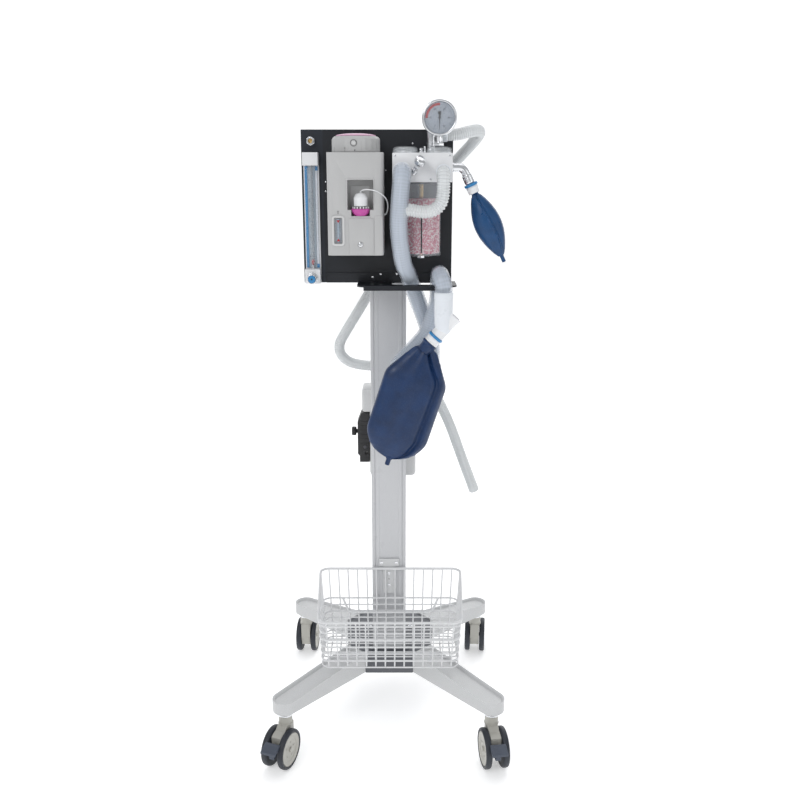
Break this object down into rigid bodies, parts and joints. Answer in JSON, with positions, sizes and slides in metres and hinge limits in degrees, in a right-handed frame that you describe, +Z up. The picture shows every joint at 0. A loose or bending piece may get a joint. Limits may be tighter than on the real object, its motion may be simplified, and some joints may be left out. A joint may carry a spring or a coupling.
{
  "type": "veterinary anesthesia machine",
  "caption": "Mobile veterinary anesthesia machine: column on an X base with casters, basket, panel with vaporizer, flowmeter and absorber, hoses and breathing bags.",
  "frame": {"origin": "on the floor, midway between the four caster stems", "axes": "+Z up, -Y out of the instrument panel's front, +X to the right of someone who faces the panel"},
  "size_m": [0.4882, 0.5515, 1.2685],
  "materials": {
    "white_plastic": "smooth satin white",
    "white_column": "white powder coated extrusion",
    "white_wire": "white plastic coated wire",
    "pale_grey": "fine textured moulded plastic",
    "dark_grey": "textured moulded plastic",
    "tyre": "smooth polyurethane tread",
    "black_metal": "black powder coat",
    "black_plastic": "moulded black",
    "beige_plastic": "moulded satin",
    "chrome": "polished",
    "brass": "bright drawn",
    "clear_plastic": "clear moulded plastic",
    "hose": "translucent corrugated",
    "blue_rubber": "matte latex",
    "sky_plastic": "glossy blue",
    "magenta_plastic": "translucent keyed collar",
    "pink_plastic": "smooth pink",
    "granules": "pink and white granules",
    "red_float": "glossy red"
  },
  "bodies": {
    "frame": {"absorber_head": "white_plastic", "apl_valve": "chrome", "base_hub": "dark_grey", "basket": "white_wire", "basket_bracket": "pale_grey", "breathing_hose": "hose", "canister": "clear_plastic", "canister_rod": "brass", "column": "white_column", "expiratory_hose": "hose", "filler_collar": "magenta_plastic", "filler_tether": "white_plastic", "flowmeter_frame": "white_plastic", "flowmeter_tube": "clear_plastic", "gas_inlet_nut": "chrome", "gauge_case": "chrome", "gauge_lens": "clear_plastic", "hose_clip": "black_plastic", "hose_connector": "white_plastic", "hose_shelf": "black_metal", "large_bag": "blue_rubber", "leg_front_left": "pale_grey", "leg_front_right": "pale_grey", "leg_rear_left": "pale_grey", "leg_rear_right": "pale_grey", "panel": "black_metal", "panel_mount": "pale_grey", "rear_clamp": "black_plastic", "rear_housing": "pale_grey", "scavenging_hose": "hose", "sight_glass": "clear_plastic", "soda_lime": "granules", "valve_dome_left": "clear_plastic", "valve_dome_right": "clear_plastic", "vaporizer_body": "pale_grey"},
    "caster_front_left": {"caster_fork_front_left": "beige_plastic"},
    "wheels_front_left": {"caster_wheels_front_left": "tyre"},
    "pedal_front_left": {"brake_pedal_front_left": "dark_grey"},
    "caster_front_right": {"caster_fork_front_right": "beige_plastic"},
    "wheels_front_right": {"caster_wheels_front_right": "tyre"},
    "pedal_front_right": {"brake_pedal_front_right": "dark_grey"},
    "caster_rear_left": {"caster_fork_rear_left": "beige_plastic"},
    "wheels_rear_left": {"caster_wheels_rear_left": "tyre"},
    "caster_rear_right": {"caster_fork_rear_right": "beige_plastic"},
    "wheels_rear_right": {"caster_wheels_rear_right": "tyre"},
    "flowmeter_knob": {"flowmeter_knob": "sky_plastic"},
    "flowmeter_float": {"flowmeter_float": "red_float"},
    "dial": {"vaporizer_dial": "pale_grey", "dial_cap": "pink_plastic"},
    "dial_button": {"dial_button": "pale_grey"},
    "filler_cap": {"filler_cap": "white_plastic"},
    "drain_screw": {"drain_screw": "chrome"},
    "gauge_needle": {"gauge_needle": "black_plastic"},
    "valve_disc_left": {"valve_disc_left": "beige_plastic"},
    "valve_disc_right": {"valve_disc_right": "beige_plastic"},
    "apl_knob": {"apl_knob": "black_plastic"},
    "fresh_gas_knob": {"fresh_gas_knob": "chrome"},
    "bag_arm": {"bag_arm": "chrome", "small_bag": "blue_rubber"},
    "rear_clamp_knob": {"rear_clamp_knob": "black_plastic"}
  },
  "joints": [
    {"name": "swivel_front_left", "type": "hinge", "parent": "frame", "child": "caster_front_left", "pos_m": [-0.206, -0.206, 0.1], "axis": [0, 0, 1], "continuous": true},
    {"name": "roll_front_left", "type": "hinge", "parent": "caster_front_left", "child": "wheels_front_left", "pos_m": [-0.21424, -0.2264, 0.04], "axis": [0.9272, -0.3746, 0], "continuous": true},
    {"name": "brake_front_left", "type": "hinge", "parent": "caster_front_left", "child": "pedal_front_left", "pos_m": [-0.22398, -0.2505, 0.052], "axis": [0.9272, -0.3746, 0], "range_deg": [0, 12]},
    {"name": "swivel_front_right", "type": "hinge", "parent": "frame", "child": "caster_front_right", "pos_m": [0.206, -0.206, 0.1], "axis": [0, 0, 1], "continuous": true},
    {"name": "roll_front_right", "type": "hinge", "parent": "caster_front_right", "child": "wheels_front_right", "pos_m": [0.20944, -0.22773, 0.04], "axis": [0.9877, 0.1564, 0], "continuous": true},
    {"name": "brake_front_right", "type": "hinge", "parent": "caster_front_right", "child": "pedal_front_right", "pos_m": [0.21351, -0.25341, 0.052], "axis": [0.9877, 0.1564, 0], "range_deg": [0, 12]},
    {"name": "swivel_rear_left", "type": "hinge", "parent": "frame", "child": "caster_rear_left", "pos_m": [-0.206, 0.206, 0.1], "axis": [0, 0, 1], "continuous": true},
    {"name": "roll_rear_left", "type": "hinge", "parent": "caster_rear_left", "child": "wheels_rear_left", "pos_m": [-0.20447, 0.22795, 0.04], "axis": [-0.9976, 0.0698, 0], "continuous": true},
    {"name": "swivel_rear_right", "type": "hinge", "parent": "frame", "child": "caster_rear_right", "pos_m": [0.206, 0.206, 0.1], "axis": [0, 0, 1], "continuous": true},
    {"name": "roll_rear_right", "type": "hinge", "parent": "caster_rear_right", "child": "wheels_rear_right", "pos_m": [0.2083, 0.22788, 0.04], "axis": [-0.9945, 0.1045, 0], "continuous": true},
    {"name": "flow_knob_turn", "type": "hinge", "parent": "frame", "child": "flowmeter_knob", "pos_m": [-0.138, -0.125, 0.957], "axis": [0, -1, 0], "range_deg": [0, 350]},
    {"name": "float_rise", "type": "slide", "parent": "frame", "child": "flowmeter_float", "axis": [0, 0, 1], "range_m": [0, 0.16]},
    {"name": "dial_turn", "type": "hinge", "parent": "frame", "child": "dial", "pos_m": [-0.0543, -0.1378, 1.19], "axis": [0, 0, 1], "range_deg": [0, 270]},
    {"name": "dial_button_press", "type": "slide", "parent": "dial", "child": "dial_button", "axis": [0, 1, 0], "range_m": [0, 0.003], "stiffness_N_per_m": 150},
    {"name": "filler_cap_turn", "type": "hinge", "parent": "frame", "child": "filler_cap", "pos_m": [-0.0453, -0.1783, 1.1], "axis": [0, 0, 1], "range_deg": [0, 350]},
    {"name": "drain_screw_turn", "type": "hinge", "parent": "frame", "child": "drain_screw", "pos_m": [-0.0458, -0.185, 1.0237], "axis": [0, -1, 0], "range_deg": [0, 350]},
    {"name": "needle_turn", "type": "hinge", "parent": "frame", "child": "gauge_needle", "pos_m": [0.09175, -0.14, 1.2375], "axis": [0, 1, 0], "range_deg": [-20, 230]},
    {"name": "left_disc_lift", "type": "slide", "parent": "frame", "child": "valve_disc_left", "axis": [0, 0, 1], "range_m": [0, 0.004]},
    {"name": "right_disc_lift", "type": "slide", "parent": "frame", "child": "valve_disc_right", "axis": [0, 0, 1], "range_m": [0, 0.004]},
    {"name": "apl_knob_turn", "type": "hinge", "parent": "frame", "child": "apl_knob", "pos_m": [0.07875, -0.1008, 1.227], "axis": [0, 0, 1], "range_deg": [0, 350]},
    {"name": "fresh_gas_knob_turn", "type": "hinge", "parent": "frame", "child": "fresh_gas_knob", "pos_m": [0.046, -0.1623, 1.1455], "axis": [0.4203, -0.6004, 0.6804], "range_deg": [0, 350]},
    {"name": "bag_arm_swivel", "type": "hinge", "parent": "frame", "child": "bag_arm", "pos_m": [0.1145, -0.1258, 1.15375], "axis": [1, 0, 0], "range_deg": [-80, 8]},
    {"name": "rear_clamp_knob_turn", "type": "hinge", "parent": "frame", "child": "rear_clamp_knob", "pos_m": [-0.068, 0.0468, 0.61672], "axis": [-1, 0, 0], "range_deg": [0, 350]}
  ]
}
